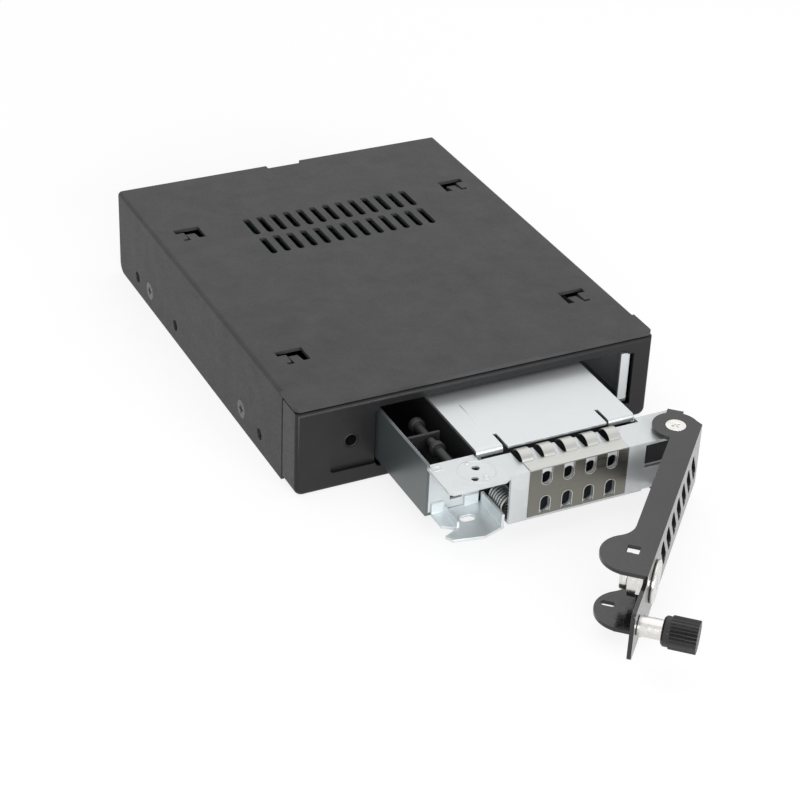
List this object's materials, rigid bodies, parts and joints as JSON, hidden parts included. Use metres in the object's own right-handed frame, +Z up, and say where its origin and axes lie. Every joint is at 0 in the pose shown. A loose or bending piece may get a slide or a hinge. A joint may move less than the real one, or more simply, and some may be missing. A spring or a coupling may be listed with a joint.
{
  "type": "drive mounting frame",
  "caption": "Black steel hot-swap frame for a 3.5 inch bay with a drawn-out metal drive tray, swing lever, key lock and captive thumb screw.",
  "frame": {"origin": "middle of the housing's underside", "axes": "+X to the right, +Y to the rear with the ports, +Z up"},
  "size_m": [0.1016, 0.2325, 0.0254],
  "materials": {
    "black_coat": "fine textured black powder coat",
    "galvanised": "bright galvanised sheet",
    "bright_plate": "smooth bright sheet",
    "stainless": "satin stainless spring steel",
    "black_plastic": "matt black plastic",
    "nickel": "satin nickel plate",
    "black_knob": "black anodised, knurled",
    "board": "green solder resist"
  },
  "bodies": {
    "housing": {"cover": "black_coat", "cover_screws": "black_knob", "chassis": "black_coat", "bezel": "black_coat", "catch_nut": "nickel", "left_rail": "black_plastic", "right_rail": "black_plastic", "backplane": "board", "board_screws": "nickel", "drive_connector": "black_plastic", "data_port": "nickel", "power_inlet": "black_plastic"},
    "tray": {"tray": "galvanised", "pivot_screw": "nickel", "pivot_spacer": "black_plastic", "drive_carrier": "black_plastic", "drive_plate": "bright_plate", "shield_clip": "stainless", "latch_plate": "galvanised", "latch_spring": "stainless", "rod_bracket": "black_plastic"},
    "lever": {"lever": "black_coat", "lock_barrel": "nickel", "lock_nut": "nickel", "screw_sleeve": "nickel"},
    "lock": {"lock_plug": "nickel", "lock_cam": "nickel"},
    "thumb_slide": {"thumb_spring": "stainless"},
    "thumb_screw": {"thumb_screw": "black_knob"},
    "push_rod": {"push_rod": "black_plastic"}
  },
  "joints": [
    {"name": "tray_slide", "type": "slide", "parent": "housing", "child": "tray", "axis": [0, 1, 0], "range_m": [0, 0.041]},
    {"name": "lever_swing", "type": "hinge", "parent": "tray", "child": "lever", "pos_m": [0.036, -0.0992, 0.0125], "axis": [0, 0, 1], "range_deg": [-47, 8]},
    {"name": "lock_turn", "type": "hinge", "parent": "lever", "child": "lock", "pos_m": [-0.00083, -0.13869, 0.0125], "axis": [0.7314, -0.682, 0], "range_deg": [0, 90]},
    {"name": "thumb_push", "type": "slide", "parent": "lever", "child": "thumb_slide", "axis": [-0.7314, 0.682, 0], "range_m": [0, 0.005], "stiffness_N_per_m": 200},
    {"name": "thumb_spin", "type": "hinge", "parent": "thumb_slide", "child": "thumb_screw", "pos_m": [-0.01266, -0.15138, 0.01255], "axis": [0.7314, -0.682, 0], "continuous": true},
    {"name": "rod_push", "type": "slide", "parent": "tray", "child": "push_rod", "axis": [0, 1, 0], "range_m": [0, 0.003], "stiffness_N_per_m": 150}
  ]
}
